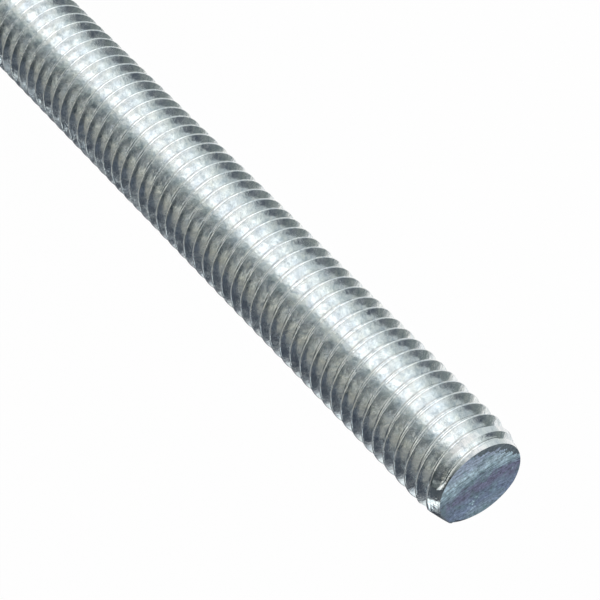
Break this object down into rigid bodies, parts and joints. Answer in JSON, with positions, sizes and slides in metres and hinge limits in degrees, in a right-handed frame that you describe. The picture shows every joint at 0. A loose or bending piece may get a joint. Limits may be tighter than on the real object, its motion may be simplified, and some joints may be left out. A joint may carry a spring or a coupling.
{
  "type": "threaded rod",
  "caption": "Straight steel rod with a continuous right-hand metric thread from end to end and a chamfer at each sawn end, for nuts, inserts and tapped holes.",
  "frame": {"origin": "centre of the lower end face, on the rod's axis; the rod stands on this end", "axes": "+Z along the rod's axis, from the lower end face to the upper one; X and Y are equal across the rod"},
  "size_m": [0.008, 0.008, 0.08],
  "materials": {
    "zinc_steel": "bright zinc plating on a rolled thread"
  },
  "bodies": {
    "root": {"threaded_rod": "zinc_steel"}
  },
  "joints": []
}
